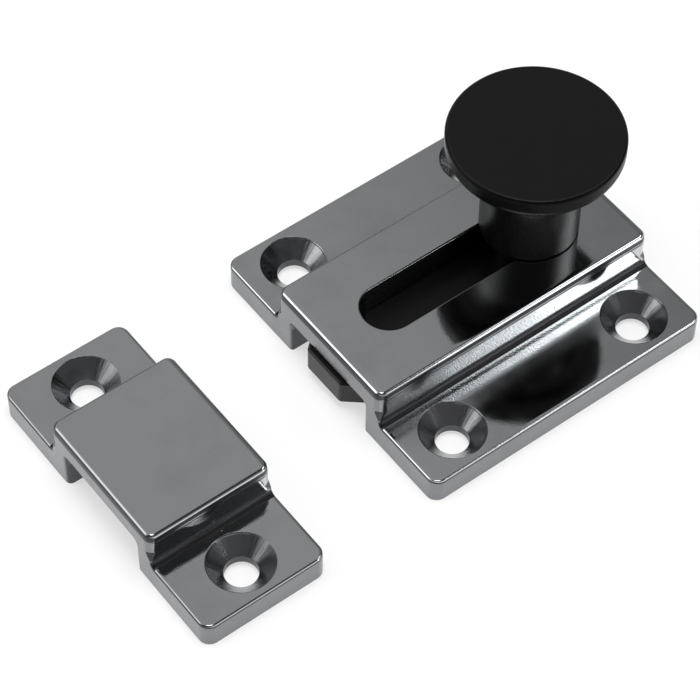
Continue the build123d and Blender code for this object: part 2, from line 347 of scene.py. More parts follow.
class Patches:
    """Gathers grids and flat faces, and welds them into one closed mesh with exact normals."""

    def __init__(self):
        self.places, self.groups, self.count = [], [], 0

    def keep(self, places, faces, normals, turning):
        """Adds faces with the normals of their corners, and how far from its axis a turned face lies."""
        self.places.append(places)
        self.groups.append((faces + self.count, normals, turning))
        self.count += len(places)

    def grid(self, places, normals, axis=None, scale=(1, 1, 1)):
        """A grid of quads. A scale of -1 mirrors it. A turned face is given its axis across the bolt."""
        rows, columns = places.shape[:2]
        index = np.arange(rows * columns).reshape(rows, columns)
        faces = np.stack([index[:-1, :-1], index[:-1, 1:], index[1:, 1:], index[1:, :-1]], -1).reshape(-1, 4)
        places = (places * scale).reshape(-1, 3)
        normals = (normals * scale).reshape(-1, 3)
        turning = 0 * places[faces] if axis is None else places[faces] - (*axis, 0)
        self.keep(places, faces, normals[faces], turning)

    def sweep(self, path, rows, axes=(0, 1, 2), **options):
        """A profile carried along a path."""
        self.grid(*carry(path, rows, axes), **options)

    def flat(self, loops, normal, scale=(1, 1, 1)):
        """A flat face: the first loop is its outline and the others are its holes."""
        loops = [loop * scale for loop in loops]
        faces = np.array(tessellate_polygon([[Vector(place) for place in loop] for loop in loops]))
        normals = np.tile(np.array(normal, float) * scale, (len(faces), 3, 1))
        self.keep(np.vstack(loops), faces, normals, 0 * normals)

    def mesh(self, name, shift=(0, 0, 0)):
        """Welds the patches, turns each face the way its normals point, and makes the mesh."""
        places = np.vstack(self.places)
        cells = np.floor(places / WELD + WELD_SHIFT).astype(np.int64)
        _, first, weld = np.unique(cells, axis=0, return_index=True, return_inverse=True)
        weld = weld.ravel()
        places = places[first]
        faces, corners, turnings = [], [], []
        for group, normals, turning in self.groups:
            group = weld[group]
            spots = places[group]
            facing = np.cross(spots[:, 2] - spots[:, 0], spots[:, -1] - spots[:, 1])
            wrong = (facing * normals.sum(1)).sum(1) < 0
            group[wrong] = group[wrong, ::-1]
            normals, turning = normals.copy(), turning.copy()
            normals[wrong], turning[wrong] = normals[wrong, ::-1], turning[wrong, ::-1]
            faces += group.tolist()
            corners.append(normals.reshape(-1, 3))
            turnings.append(turning.reshape(-1, 3))
        mesh = bpy.data.meshes.new(name)
        mesh.from_pydata((places + shift).tolist(), [], faces)
        mesh.polygons.foreach_set("use_smooth", np.ones(len(faces), bool))
        turning = mesh.attributes.new("turning", "FLOAT_VECTOR", "CORNER")
        turning.data.foreach_set("vector", np.vstack(turnings).ravel())
        mesh.normals_split_custom_set(np.vstack(corners).tolist())
        mesh.update()
        return mesh


def add_object(name, data):
    """Puts an object in the scene."""
    made = bpy.data.objects.new(name, data)
    bpy.context.scene.collection.objects.link(made)
    return made


def add_piece(mesh, body, slot, material, *replaced):
    """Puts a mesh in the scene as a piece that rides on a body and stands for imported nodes."""
    mesh.materials.append(material)
    piece = add_object(mesh.name, mesh)
    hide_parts(*replaced)
    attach(piece, body)


def box_middle(node):
    """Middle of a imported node's box across the mounting face, its half sizes, its foot and its top."""
    low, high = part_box(node)
    return (low + high) / 2, (high - low) / 2, low.z, high.z


def countersink_rows(sizes, hole_radius):
    """Profile of a countersunk hole: rim rounding, 45 degree cone, inner rounding, wall and foot chamfer."""
    edge = sizes.hole_edge
    tangent = edge * math.tan(math.radians(22.5))
    meeting = sizes.flange - (sizes.countersink - hole_radius)
    rim = arc_rows(
        (sizes.countersink + tangent, sizes.flange - edge), edge, turned(90, 135, HOLE_EDGE_STEPS)
    )
    inner = arc_rows(
        (hole_radius + edge, meeting - tangent), edge, turned(135, 180, HOLE_EDGE_STEPS)
    )
    foot = sizes.hole_foot
    wall = line_rows((hole_radius, meeting - tangent), (hole_radius, foot), (-1, 0))
    chamfer = line_rows((hole_radius, foot), (hole_radius + foot, 0), (-math.sqrt(0.5), -math.sqrt(0.5)))
    return rim, np.vstack([rim[-1:], inner[:1]]), inner, wall, chamfer


def screw_holes(patches, sizes, holes, hole_radius):
    """Adds the countersunk holes. Returns their loops in the flanges' tops and in the foot."""
    circle = turned(0, 360, sizes.hole_steps)
    profile = countersink_rows(sizes, hole_radius)
    tops, feet = [], []
    for place in holes:
        path = path_of((place, circle))
        for rows in profile:
            patches.sweep(path, rows, axis=place)
        tops.append(loop_at(path, profile[0][0])[:-1])
        feet.append(loop_at(path, profile[-1][-1])[:-1])
    return tops, feet


def slot_edges(patches, sizes, height):
    """Adds the slot's rounded rim and its wall. Returns its loops in the roof and in the ceiling."""
    radius = sizes.slot_width / 2
    reach = sizes.slot_length / 2 - radius
    edge = sizes.slot_edge
    steps = 4 * sizes.steps
    path = closed_path(path_of(((reach, 0), turned(-90, 90, steps)), ((-reach, 0), turned(90, 270, steps))))
    rim = arc_rows((radius + edge, height - edge), edge, turned(90, 180, sizes.steps))
    wall = line_rows((radius, height - edge), (radius, sizes.channel_height), (-1, 0))
    patches.sweep(path, rim)
    patches.sweep(path, wall)
    return loop_at(path, rim[0])[:-1], loop_at(path, wall[-1])[:-1]


def foot_rows(sizes):
    """Quarter hollow from the flange up to the wall: rows of y, z and the normal's two parts."""
    centre = (sizes.housing_width / 2 + sizes.foot, sizes.flange + sizes.foot)
    return arc_rows(centre, sizes.foot, turned(270, 180, sizes.steps), True)


def foot_and_corner(patches, sizes, half_length, rim_rows, brow, end, side):
    """Adds one end of the foot and the upright corner above it. Returns the edge of the end face.

    At the end face the flange's rim leaves the foot's cross-section: x goes forward as the rim's
    distance does, and y and z move against the cross-section's normal by the rim's drop. Above the foot
    this shape goes on up the wall to the brow, and changes smoothly into the housing's round corner.
    """
    half_housing = sizes.housing_width / 2
    rows = foot_rows(sizes)
    sine, cosine = rim_rows[:, 2], rim_rows[:, 3]
    back, drop = sizes.plate_corner - rim_rows[:, 0], sizes.flange - rim_rows[:, 1]
    lean_y, lean_z = rows[:, 2:3], rows[:, 3:]
    places = stacked(half_length - back, rows[:, :1] - drop * lean_y, rows[:, 1:2] - drop * lean_z)
    normals = stacked(sine, lean_y * cosine, lean_z * cosine)
    mirror = (end, side, 1)
    patches.grid(places, normals, scale=mirror)
    foot_edge = places[:, -1]

    share = np.linspace(0, 1, sizes.steps + 1)
    levels = np.append(rows[-1, 1] + share * sizes.corner_blend, brow)[:, None]
    share = np.append(share, 1)[:, None]
    blend = share**2 * (3 - 2 * share)
    growth = 6 * share * (1 - share) / sizes.corner_blend
    more_back = sizes.housing_corner * (1 - sine) - back
    more_drop = sizes.housing_corner * (1 - cosine) - drop
    places = stacked(
        half_length - back - more_back * blend, half_housing - drop - more_drop * blend, levels
    )
    normals = stacked(sine, cosine, growth * (more_back * sine + more_drop * cosine))
    normals /= np.linalg.norm(normals, axis=-1, keepdims=True)
    patches.grid(places, normals, scale=mirror)
    return np.vstack([foot_edge, places[1:, -1]]), places[:, :1, 0], levels


def casting(name, node, sizes, holes, hole_radius, channel_width, mouth, slot):
    """Outside, channel, holes and slot of a casting, as welded patches.

    Around the flanges and the housing, a profile of roundings is carried along a rounded outline:
    place = corner centre + (corner radius + offset) * direction. Each flat face fills the loops that
    the neighbouring patches end in. With a slot, the channel is closed at its rear.
    """
    middle, half, _, height = box_middle(node)
    half_length, half_width = half.x, half.y
    plate, corner = sizes.plate_corner, sizes.housing_corner
    top = sizes.flange
    half_housing = sizes.housing_width / 2
    foot_y = half_housing + sizes.foot
    steps = sizes.steps
    patches = Patches()
    hole_tops, hole_feet = screw_holes(patches, sizes, holes, hole_radius)
    slot_loops = slot_edges(patches, sizes, height) if slot else ()

    # Flanges: rim rounding along the three free sides, wall below it, and flat top
    reach = half_length - plate
    rim_rows = brow_rows(plate, top, sizes.flange_edge, sizes.ease_flange, sizes.ease_flange, steps)[::-1]
    rim_foot = rim_rows[-1, 1]
    wall_rows = line_rows((plate, rim_foot), (plate, 0), (1, 0))
    outline = arch_path(reach, foot_y, half_width - plate, steps)
    free_sides = cut_path(outline, 1, -1)
    base = loop_at(free_sides, wall_rows[-1])
    for side in (1, -1):
        mirror = (1, side, 1)
        patches.sweep(outline, rim_rows, scale=mirror)
        patches.sweep(free_sides, wall_rows, scale=mirror)
        here = [loop for loop in hole_tops if loop[0, 1] * side > 0]
        patches.flat([loop_at(outline, rim_rows[0]) * mirror, *here], (0, 0, 1))

    # Foot, upright corners and walls
    edge_rows = brow_rows(corner, height, sizes.housing_edge, sizes.ease_side, sizes.ease_top, steps)
    brow = edge_rows[0, 1]
    rows = foot_rows(sizes)
    ends = np.array([[-1, 1]]) * (reach + rim_rows[0, 0])
    for side in (1, -1):
        hollow, lean = stacked(ends, rows[:, :1], rows[:, 1:2]), stacked(0 * ends, rows[:, 2:3], rows[:, 3:])
        patches.grid(hollow, lean, scale=(1, side, 1))
        for end in (1, -1):
            face_edge, far, levels = foot_and_corner(patches, sizes, half_length, rim_rows, brow, end, side)
        wall = stacked(np.array([[-1, 1]]) * far, half_housing, levels)
        patches.grid(wall, np.broadcast_to((0.0, 1.0, 0.0), wall.shape), scale=(1, side, 1))

    # Rounding around the housing's top, and the top itself
    far_x, far_y = half_length - corner, half_housing - corner
    turns = np.arcsin(rim_rows[:, 2])
    outline = path_of(
        ((far_x, far_y), turns), ((-far_x, far_y), turns + math.pi / 2),
        ((-far_x, -far_y), turns + math.pi), ((far_x, -far_y), turns + math.pi * 1.5),
    )
    patches.sweep(closed_path(outline), edge_rows)
    patches.flat([loop_at(outline, edge_rows[-1]), *slot_loops[:1]], (0, 0, 1))

    # Channel: walls and ceiling along X, with rounded mouths, or a hollow at a closed rear
    bend = sizes.channel_corner
    side_y, side_z = channel_width / 2 - bend, sizes.channel_height - bend
    arch = arch_path(side_y, 0, side_z, steps)
    lengthwise = (1, 2, 0)
    lip = half_length - mouth
    mouth_rows = arc_rows((bend + mouth, lip), mouth, turned(180, 90, steps))
    front = carry(arch, mouth_rows, lengthwise)
    patches.grid(*front)
    if slot:
        hollow = sizes.rear_hollow
        rear = -half_length + sizes.rear_wall
        rear_rows = arc_rows((bend - hollow, rear + hollow), hollow, turned(0, -90, steps), True)
        back = carry(arch, rear_rows, lengthwise)
        patches.grid(*back)
        patches.flat([back[0][-1]], (1, 0, 0))
        rear_x = rear + hollow
    else:
        back = [part * (-1, 1, 1) for part in front]
        patches.grid(*back)
        rear_x = -lip
    tube_rows = line_rows((bend, lip), (bend, rear_x), (-1, 0))
    for half_arch in (cut_path(arch, 0, steps + 2), cut_path(arch, steps + 2, None)):
        patches.sweep(half_arch, tube_rows, lengthwise)
    ceiling = np.array([
        (x, y, sizes.channel_height)
        for x, y in ((lip, side_y), (rear_x, side_y), (rear_x, -side_y), (lip, -side_y))
    ])
    patches.flat([ceiling, *slot_loops[1:]], (0, 0, -1))

    # End faces, each between the upright edges, the housing's top and the mouth
    flange_end = [(half_length, half_width - plate, level) for level in (0, rim_foot)]
    half_face = np.vstack([flange_end, face_edge])
    face = np.vstack([half_face, half_face[::-1] * (1, -1, 1)])
    opening = front[0][-1][::-1]
    patches.flat([np.vstack([face, opening])], (1, 0, 0))
    patches.flat([face if slot else np.vstack([face, opening])], (1, 0, 0), scale=(-1, 1, 1))

    # Foot, cut by the channel
    if slot:
        loop = np.vstack([
            base, base[::-1] * (1, -1, 1),
            front[0][::-1, -1], back[0][:, -1], back[0][::-1, 0], front[0][:, 0],
        ])
        patches.flat([loop, *hole_feet], (0, 0, -1))
    else:
        for side, column in ((1, 0), (-1, -1)):
            here = [hole for hole in hole_feet if hole[0, 1] * side > 0]
            loop = np.vstack([base * (1, side, 1), back[0][::-1, column], front[0][:, column]])
            patches.flat([loop, *here], (0, 0, -1))
    return patches.mesh(name, (middle.x, 0, 0))


def knob_mesh(sizes):
    """The knob: a profile turned about its axis, with a hexagonal seat for the bush.

    The stem rises straight, flares in a quarter ellipse to the underside of the head, and the head has
    a round underside, an upright rim and a top that sinks by dish * (1 - (r / R)^2).
    """
    middle, half, base, top = box_middle("knob")
    head, steps = half.x, sizes.steps
    small, under, edge = sizes.foot_round, sizes.underside, sizes.rim_round
    flare, flare_foot = head - under, base + sizes.stem_height
    flare_top = top - edge - sizes.rim_height - under
    foot = arc_rows((sizes.stem - small, base + small), small, turned(-90, 0, steps))
    swell = arc_rows(
        (flare, flare_foot), (flare - sizes.stem, flare_top - flare_foot), turned(180, 90, 3 * steps), True
    )
    belly = arc_rows((flare, flare_top + under), under, turned(-90, 0, 2 * steps))
    crown = arc_rows((head - edge, top - edge), edge, turned(0, 90, steps))
    inward = np.linspace(head - edge, KNOB_CORE, 2 * steps)
    slope = 2 * sizes.dish * inward / (head - edge) ** 2
    sunk = np.column_stack([
        inward, top - sizes.dish * (1 - (inward / (head - edge)) ** 2),
        -slope / np.hypot(slope, 1), 1 / np.hypot(slope, 1),
    ])
    circle = path_of(((0, 0), turned(0, 360, sizes.around)))
    patches = Patches()
    for rows in (foot, np.vstack([foot[-1:], swell]), np.vstack([belly, crown[:1]]), crown, sunk):
        patches.sweep(circle, rows)
    patches.flat([loop_at(circle, sunk[-1])[:-1]], (0, 0, 1))

    # Seat of the bush
    across = sizes.seat_flats / 2
    corners = across / math.cos(math.radians(30))
    hexagon = path_of(((0, 0), turned(30, 330, 5)))
    low = loop_at(hexagon, (corners, base, 0, 1))
    high = low + (0, 0, sizes.seat_depth)
    patches.flat([loop_at(circle, foot[0])[:-1], low], (0, 0, -1))
    patches.flat([high], (0, 0, -1))
    for wall, way in zip(range(6), turned(60, 360, 5)):
        pick = [wall, (wall + 1) % 6]
        sheet = np.stack([low[pick], high[pick]])
        patches.grid(sheet, np.broadcast_to((-math.cos(way), -math.sin(way), 0.0), sheet.shape))
    return patches.mesh("knob_moulding", (middle.x, middle.y, 0))


def grid_normals(places, outward):
    """Normals of a grid from its own slopes, turned to the side of the outward directions."""
    normals = np.cross(np.gradient(places, axis=0), np.gradient(places, axis=1))
    normals /= np.linalg.norm(normals, axis=-1, keepdims=True)
    turn = np.sign((normals * outward).sum(-1, keepdims=True))
    return normals * np.where(turn == 0, 1, turn)


def screw_mesh(sizes):
    """The knob's screw: a head with a cross recess and a shank with a rolled thread.

    Shank: radius = crest - depth * |wave|, where the wave is a triangle of height / pitch - angle / 2 pi,
    fading out at both ends. Head face: height = depth inside a cross of four arms, with soft walls.
    """
    middle, half, low, high = box_middle("knob_screw")
    head, around = half.x, sizes.around
    seat = low + sizes.head_height
    edge = sizes.head_round
    circle = path_of(((0, 0), turned(0, 360, around)))
    patches = Patches()
    crown = arc_rows((head - edge, low + edge), edge, turned(-90, 0, HEAD_STEPS))
    patches.sweep(circle, crown)
    patches.sweep(circle, line_rows((head, low + edge), (head, seat), (1, 0)))

    # Face with the cross recess
    reach = np.linspace(head - edge, SCREW_CORE, FACE_RINGS)[:, None]
    angle = turned(0, 360, around)[None]
    x, y = reach * np.cos(angle), reach * np.sin(angle)
    long_side, short_side = np.maximum(abs(x), abs(y)), np.minimum(abs(x), abs(y))
    inside = np.clip((sizes.recess_width - short_side) / RECESS_WALL, 0, 1)
    inside = inside * np.clip((sizes.recess_reach - long_side) / RECESS_WALL, 0, 1)
    places = np.stack([x, y, low + sizes.recess_depth * inside], -1)
    normals = grid_normals(places, np.array((0, 0, -1.0)))
    patches.grid(places, normals)
    patches.flat([places[-1, :-1]], (0, 0, -1))

    # Underside of the head and threaded shank
    rows = np.linspace(seat, high, int((high - seat) / sizes.pitch * ROWS_PER_TURN))[:, None]
    turns = rows / sizes.pitch - angle / (2 * math.pi)
    wave = 2 * abs(turns - np.floor(turns) - 0.5)
    fade = np.clip((rows - seat) / sizes.pitch, 0, 1) * np.clip((high - rows) / sizes.pitch, 0, 1)
    point = np.clip(1 - (high - rows) / sizes.pitch, 0, 1)
    radius = sizes.shank - sizes.thread_depth * (wave * fade + point)
    places = stacked(radius * np.cos(angle), radius * np.sin(angle), rows)
    outward = stacked(np.cos(angle), np.sin(angle), 0 * rows)
    patches.grid(places, grid_normals(places, outward))
    patches.flat([places[-1, :-1]], (0, 0, 1))
    patches.flat([loop_at(circle, (head, seat, 0, 1))[:-1], places[0, :-1]], (0, 0, 1))
    return patches.mesh("knob_screw_threaded", (middle.x, middle.y, 0))


class Graph:
    """A node tree that is being wired. A value is a number, a colour, a vector or a node's output."""

    def __init__(self, owner):
        owner.use_nodes = True
        self.tree = owner.node_tree

    def feed(self, node, inputs):
        """Sets each named input of a node to a value, or links it to another node's output."""
        for key, value in inputs.items():
            if isinstance(value, bpy.types.NodeSocket):
                self.tree.links.new(value, node.inputs[key])
            else:
                node.inputs[key].default_value = value
        return node

    def add(self, kind, inputs=None, **settings):
        """Adds a node with its settings and its inputs."""
        made = self.tree.nodes.new("ShaderNode" + kind)
        for key, value in settings.items():
            setattr(made, key, value)
        return self.feed(made, inputs or {})

    def fold(self, operation, first, *others):
        """Joins values by one arithmetic operation, from the first on."""
        for other in others:
            first = self.add("Math", {0: first, 1: other}, operation=operation).outputs["Value"]
        return first

    times = partialmethod(fold, "MULTIPLY")
    plus = partialmethod(fold, "ADD")
    minus = partialmethod(fold, "SUBTRACT")
    over = partialmethod(fold, "DIVIDE")
    most = partialmethod(fold, "MAXIMUM")

    def single(self, operation, value):
        """An operation on one value."""
        return self.add("Math", {0: value}, operation=operation).outputs["Value"]

    def ramp(self, value, low, high, first=0, last=1, kind="LINEAR"):
        """First up to the low value and last from the high value on, with a straight slope between."""
        inputs = {"Value": value, "From Min": low, "From Max": high, "To Min": first, "To Max": last}
        return self.add("MapRange", inputs, interpolation_type=kind).outputs["Result"]

    def soft(self, value, low, high, first=0, last=1):
        """A ramp with soft ends."""
        return self.ramp(value, low, high, first, last, "SMOOTHSTEP")

    def mix(self, share, first, second, kind="FLOAT"):
        """Mixes two numbers, or two colours if the kind is RGBA."""
        one, other, result = MIX_SOCKETS[kind]
        return self.add("Mix", {"Factor": share, one: first, other: second}, data_type=kind).outputs[result]

    def parts(self, vector):
        """The three parts of a vector."""
        return self.add("SeparateXYZ", {"Vector": vector}).outputs[:3]

    def vector(self, x, y, z=0.0):
        """A vector from its parts."""
        return self.add("CombineXYZ", {"X": x, "Y": y, "Z": z}).outputs["Vector"]

    def noise(self, place, scale, detail=4.0, roughness=0.5):
        """Noise of the given scale, in turns per metre."""
        inputs = {"Vector": place, "Scale": scale, "Detail": detail, "Roughness": roughness}
        return self.add("TexNoise", inputs).outputs["Fac"]

    def pits(self, place, scale, size, share):
        """Sparse round pits: 1 in the middle of a pit, in the given share of the cells."""
        cells = self.add("TexVoronoi", {"Vector": place, "Scale": scale}).outputs
        near = self.soft(cells["Distance"], size * PIT_CORE, size, 1, 0)
        return self.times(near, self.ramp(self.parts(cells["Color"])[0], share, share + 0.001, 1, 0))

    def bump(self, height, depth, below=None):
        """The normal of a height from 0 to 1 that stands for the given depth in metres."""
        inputs = {"Height": height, "Distance": depth, "Strength": 1.0}
        return self.add("Bump", inputs if below is None else {**inputs, "Normal": below}).outputs["Normal"]


def new_material(name):
    """An empty material with a Principled shader. Returns the material, its graph and the shader."""
    material = bpy.data.materials.new(name)
    graph = Graph(material)
    return material, graph, graph.tree.nodes["Principled BSDF"]


def turned_marks(graph):
    """Marks of the countersink. Returns where faces are turned, and a height of rings and radial chatter."""
    turning = graph.add("Attribute", attribute_name="turning").outputs["Vector"]
    x, y, height = graph.parts(turning)
    flat = graph.vector(x, y)
    distance = graph.add("VectorMath", {0: flat}, operation="LENGTH").outputs["Value"]
    cut = graph.ramp(distance, 0.5 * MM, 1.0 * MM)
    x, y, _ = graph.parts(graph.add("VectorMath", {0: flat}, operation="NORMALIZE").outputs["Vector"])
    chatter = graph.vector(x, y, graph.times(height, CHATTER_SLANT))
    ring = graph.vector(x, y, graph.times(height, RINGS))
    rings = graph.times(graph.noise(ring, 1.0, detail=2.0), RING_SHARE)
    return cut, graph.times(graph.plus(graph.noise(chatter, CHATTER, detail=3.0), rings), cut)


def painted_edge_shade(graph, place, leans, cut):
    """Share of painted shade in a band below every edge, from the parts of the normal.

    It makes two dark lines along the housing's long sides, with a painted lighter line between. It is wider
    on the ends, and on the far side it takes the whole edge. It shows less on countersinks.
    """
    endways, lean_y, upright = leans
    uneven = graph.minus(graph.noise(place, 900.0, detail=3.0), 0.5)
    tilt = graph.plus(upright, graph.times(uneven, 0.05))
    faint = graph.plus(upright, graph.times(uneven, 0.012))
    foot = graph.minus(faint, graph.times(endways, 0.04))
    top = graph.minus(tilt, graph.times(endways, 0.42))
    top = graph.minus(top, graph.soft(lean_y, -0.35, -0.2, 0.7, 0))
    painted_light_line = graph.times(graph.soft(faint, 0.042, 0.050), graph.soft(faint, 0.064, 0.072, 1, 0))
    return graph.times(
        graph.soft(foot, 0.014, 0.026), graph.soft(top, 0.20, 0.28, 1, 0),
        graph.minus(1.0, graph.times(painted_light_line, 0.6)), graph.ramp(cut, 0, 1, 0.9, 0),
    )


def plated_casting(finish, sizes):
    """Polished and chrome-plated zinc: mirror-like tops with small pits, greyer and grainier ends.

    The polishing follows the way a face looks: faces that look up and the housing's walls are smooth and
    take the light colour, while the ends and the flanges' edges are rougher and take a greyer colour, which
    is partly painted shade for the dim floor they mirror. Painted shade, nearly black, fills the foot's
    hollow, a band below each rounded edge and the front end of the case's walls, and there is more grain
    beside the foot. Countersinks carry the tool's marks.
    """
    material, graph, shader = new_material("plated_casting")
    ramp, soft, times, most = graph.ramp, graph.soft, graph.times, graph.most
    coordinates = graph.add("TexCoord").outputs
    place = coordinates["Object"]
    along, across, height = graph.parts(place)
    lean_x, lean_y, lean_z = graph.parts(coordinates["Normal"])
    endways, sideways, upright, span = (
        graph.single("ABSOLUTE", part) for part in (lean_x, lean_y, lean_z, across)
    )
    flange, ceiling = sizes.flange, sizes.channel_height
    beside = graph.minus(span, sizes.housing_width / 2)
    haze = graph.noise(place, 420.0, detail=5.0, roughness=0.6)
    cut, marks = turned_marks(graph)
    on_keeper = ramp(along, *KEEPER_START)

    # Where it is polished and smooth, and how much of the light colour it takes; the greyer rest is partly
    # painted shade
    wall = times(soft(sideways, 0.6, 0.9), soft(height, flange + 0.1 * MM, flange + 0.5 * MM))
    polished_and_lit = most(soft(upright, 0.08, 0.30), wall)
    # Painted shade on the keeper's end edges, which take less of the light colour
    keeper_end_shade = times(on_keeper, soft(endways, 0.3, 0.5, 0, 0.85))
    lit_polish = times(polished_and_lit, ramp(cut, 0, 1, 1, 0.12), graph.minus(1.0, keeper_end_shade))

    # The hollow at the housing's foot, where shade is painted, and the flange's face beside it
    low = times(
        soft(height, flange + 0.4 * MM, flange + 1.1 * MM, 1, 0),
        soft(height, flange - 0.2 * MM, flange - 0.1 * MM), ramp(beside, -0.2 * MM, -0.1 * MM),
    )
    near_foot = times(soft(beside, 1.0 * MM, 5.5 * MM, 1, 0), low)
    hollow = times(soft(beside, 0.60 * MM, 0.74 * MM, 1, 0), polished_and_lit, low)
    misty = times(soft(beside, 2.3 * MM, 3.0 * MM), soft(beside, 3.6 * MM, 6.5 * MM, 0.15, 0), low)

    # The channel, the holes' straight walls and the slot's rim, darkened by painted shade
    half_channel, half_slot, rear = sizes.case_channel / 2, sizes.slot_width / 2, CAD_BOX[0][0]
    channel = times(
        ramp(span, half_channel + 0.1 * MM, half_channel + 0.3 * MM, 1, 0),
        ramp(height, ceiling + 0.05 * MM, ceiling + 0.15 * MM, 1, 0),
        ramp(along, rear + 0.8 * MM, rear + 1.2 * MM),
    )
    bore = times(cut, soft(upright, 0.3, 0.6, 1, 0))
    slot_rim = times(
        ramp(span, half_slot + 0.3 * MM, half_slot + 0.4 * MM, 1, 0), soft(sideways, 0.1, 0.3),
        ramp(height, ceiling - 0.3 * MM, ceiling - 0.1 * MM),
    )
    recess_shade = times(most(channel, bore, slot_rim), 0.75)
    # Painted shade on the front end of the case's walls, uneven with the haze
    front = times(
        soft(along, 9 * MM, 14 * MM, 0, 0.55), ramp(along, *CASE_END, 1, 0),
        ramp(haze, 0.35, 0.65, 1.15, 0.85),
    )
    # Small random smudges, and painted shade in a band below every edge
    smudge = soft(graph.noise(place, 110.0, detail=4.0, roughness=0.6), 0.42, 0.72, 0, 0.09)
    edge_shade = painted_edge_shade(graph, place, (endways, lean_y, upright), cut)
    # All the painted shade, with the smudges, pulls the colour to the nearly black one and roughens it
    shade_and_smudge = most(hollow, edge_shade, smudge, recess_shade, times(wall, front))

    # Light colour where polished and lit; the greyer one elsewhere is partly painted shade
    plating = graph.mix(lit_polish, (*finish.satin_and_shade, 1.0), (*finish.polished, 1.0), "RGBA")
    smooth = graph.plus(ramp(haze, 0.35, 0.7, 0.05, 0.09), misty, times(cut, 0.13))
    roughness = graph.mix(polished_and_lit, ramp(haze, 0.35, 0.7, 0.20, 0.30), smooth)

    # A shallow dip that the wheel leaves along the foot of the case, and a slope on the keeper there
    dip = graph.plus(soft(beside, 0.85 * MM, 1.65 * MM, 1.05, 0), soft(beside, 1.9 * MM, 3.4 * MM))
    dip = graph.mix(on_keeper, dip, ramp(beside, 1.2 * MM, 3.4 * MM, 3.4, 0))
    level = graph.plus(soft(upright, 0.90, 0.999, 1.0, 0.5), near_foot)
    normal = None
    for relief, depth in (
        (graph.noise(place, 160.0, detail=1.0), WAVES),
        (times(dip, low), DIP),
        (times(graph.minus(graph.noise(place, 4500.0, detail=2.0), 0.5), level), GRAIN),
        (times(graph.pits(place, 700.0, 0.07, 0.14), -1), PITS),
        (times(graph.pits(place, 1900.0, 0.16, 0.25), near_foot), SPARKS),
        (marks, TOOL_MARKS),
    ):
        normal = graph.bump(relief, depth, normal)
    graph.feed(shader, {
        "Base Color": graph.mix(shade_and_smudge, plating, (*finish.recess, 1.0), "RGBA"), "Metallic": 1.0,
        "Roughness": graph.mix(shade_and_smudge, roughness, 0.34), "Normal": normal,
    })
    return material


def black_plastic(finish):
    """Satin black moulding with a fine spark-eroded grain. The head's rim and underside shine less."""
    material, graph, shader = new_material("black_plastic")
    coordinates = graph.add("TexCoord").outputs
    place = coordinates["Object"]
    haze = graph.noise(place, 300.0, detail=4.0)
    head = graph.soft(graph.parts(place)[2], *HEAD_START)
    rim = graph.times(head, graph.soft(graph.parts(coordinates["Normal"])[2], 0.80, 0.95, 1, 0))
    rough = graph.plus(graph.ramp(haze, 0.3, 0.7, 0.34, 0.38), graph.times(head, 0.03))
    graph.feed(shader, {
        "Base Color": (*finish.plastic, 1.0),
        "Specular IOR Level": graph.ramp(rim, 0, 1, 0.36, 0.07),
        "Roughness": graph.minus(rough, graph.times(rim, 0.1)),
        "Normal": graph.bump(graph.noise(place, 3800.0, detail=3.0), PLASTIC_GRAIN),
    })
    return material


def plain_metal(name, tint, roughness):
    """Machined metal with fine marks."""
    material, graph, shader = new_material(name)
    marks = graph.noise(graph.add("TexCoord").outputs["Object"], 2200.0, detail=4.0)
    graph.feed(shader, {
        "Base Color": (*tint, 1.0), "Metallic": 1.0, "Normal": graph.bump(marks, FINE_MARKS),
        "Roughness": graph.ramp(marks, 0.3, 0.7, roughness - 0.05, roughness + 0.08),
    })
    return material


def dress(node, material):
    """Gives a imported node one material."""
    slots = frame["nodes"][node].data.materials
    slots.clear()
    slots.append(material)


class CUPBOARD_OT_castings(bpy.types.Operator):
    """Builds the plated case and keeper"""

    bl_idname = "cupboard_bolt.castings"
    bl_label = "Build castings"

    def execute(self, context):
        sizes = context.scene.bolt_castings
        material = plated_casting(context.scene.bolt_finish, sizes)
        case, keeper = MOUNTS["case_screws"]["dims"], MOUNTS["keeper_screws"]["dims"]
        far_x, far_y = case["spacing_x_mm"] * MM / 2, case["spacing_y_mm"] * MM / 2
        holes = [(x, y) for x in (-far_x, far_x) for y in (-far_y, far_y)]
        mesh = casting(
            "case_casting", "case", sizes, holes, case["hole_r_mm"] * MM, sizes.case_channel,
            sizes.case_mouth, slot=True,
        )
        add_piece(mesh, "castings", "plated_casting", material, "case")
        far_y = keeper["spacing_y_mm"] * MM / 2
        mesh = casting(
            "keeper_casting", "keeper", sizes, [(0, -far_y), (0, far_y)], keeper["hole_r_mm"] * MM,
            sizes.keeper_channel, sizes.keeper_mouth, slot=False,
        )
        add_piece(mesh, "castings", "plated_casting", material, "keeper")
        return {"FINISHED"}


class CUPBOARD_OT_mouldings(bpy.types.Operator):
    """Builds the knob and finishes the slide"""

    bl_idname = "cupboard_bolt.mouldings"
    bl_label = "Build mouldings"

    def execute(self, context):
        material = black_plastic(context.scene.bolt_finish)
        add_piece(knob_mesh(context.scene.bolt_knob), "bolt", "black_plastic", material, "knob")
        dress("bolt_slide", material)
        return {"FINISHED"}


class CUPBOARD_OT_hardware(bpy.types.Operator):
    """Builds the screw and finishes the bush and the spring"""

    bl_idname = "cupboard_bolt.hardware"
    bl_label = "Build hardware"

    def execute(self, context):
        finish = context.scene.bolt_finish
        steel = plain_metal("plated_steel", finish.screw, 0.25)
        add_piece(screw_mesh(context.scene.bolt_screw), "bolt", "plated_steel", steel, "knob_screw")
        dress("knob_insert", plain_metal("brass_bush", finish.bush, 0.3))
        dress("friction_spring", plain_metal("spring_steel", finish.spring, 0.35))
        return {"FINISHED"}


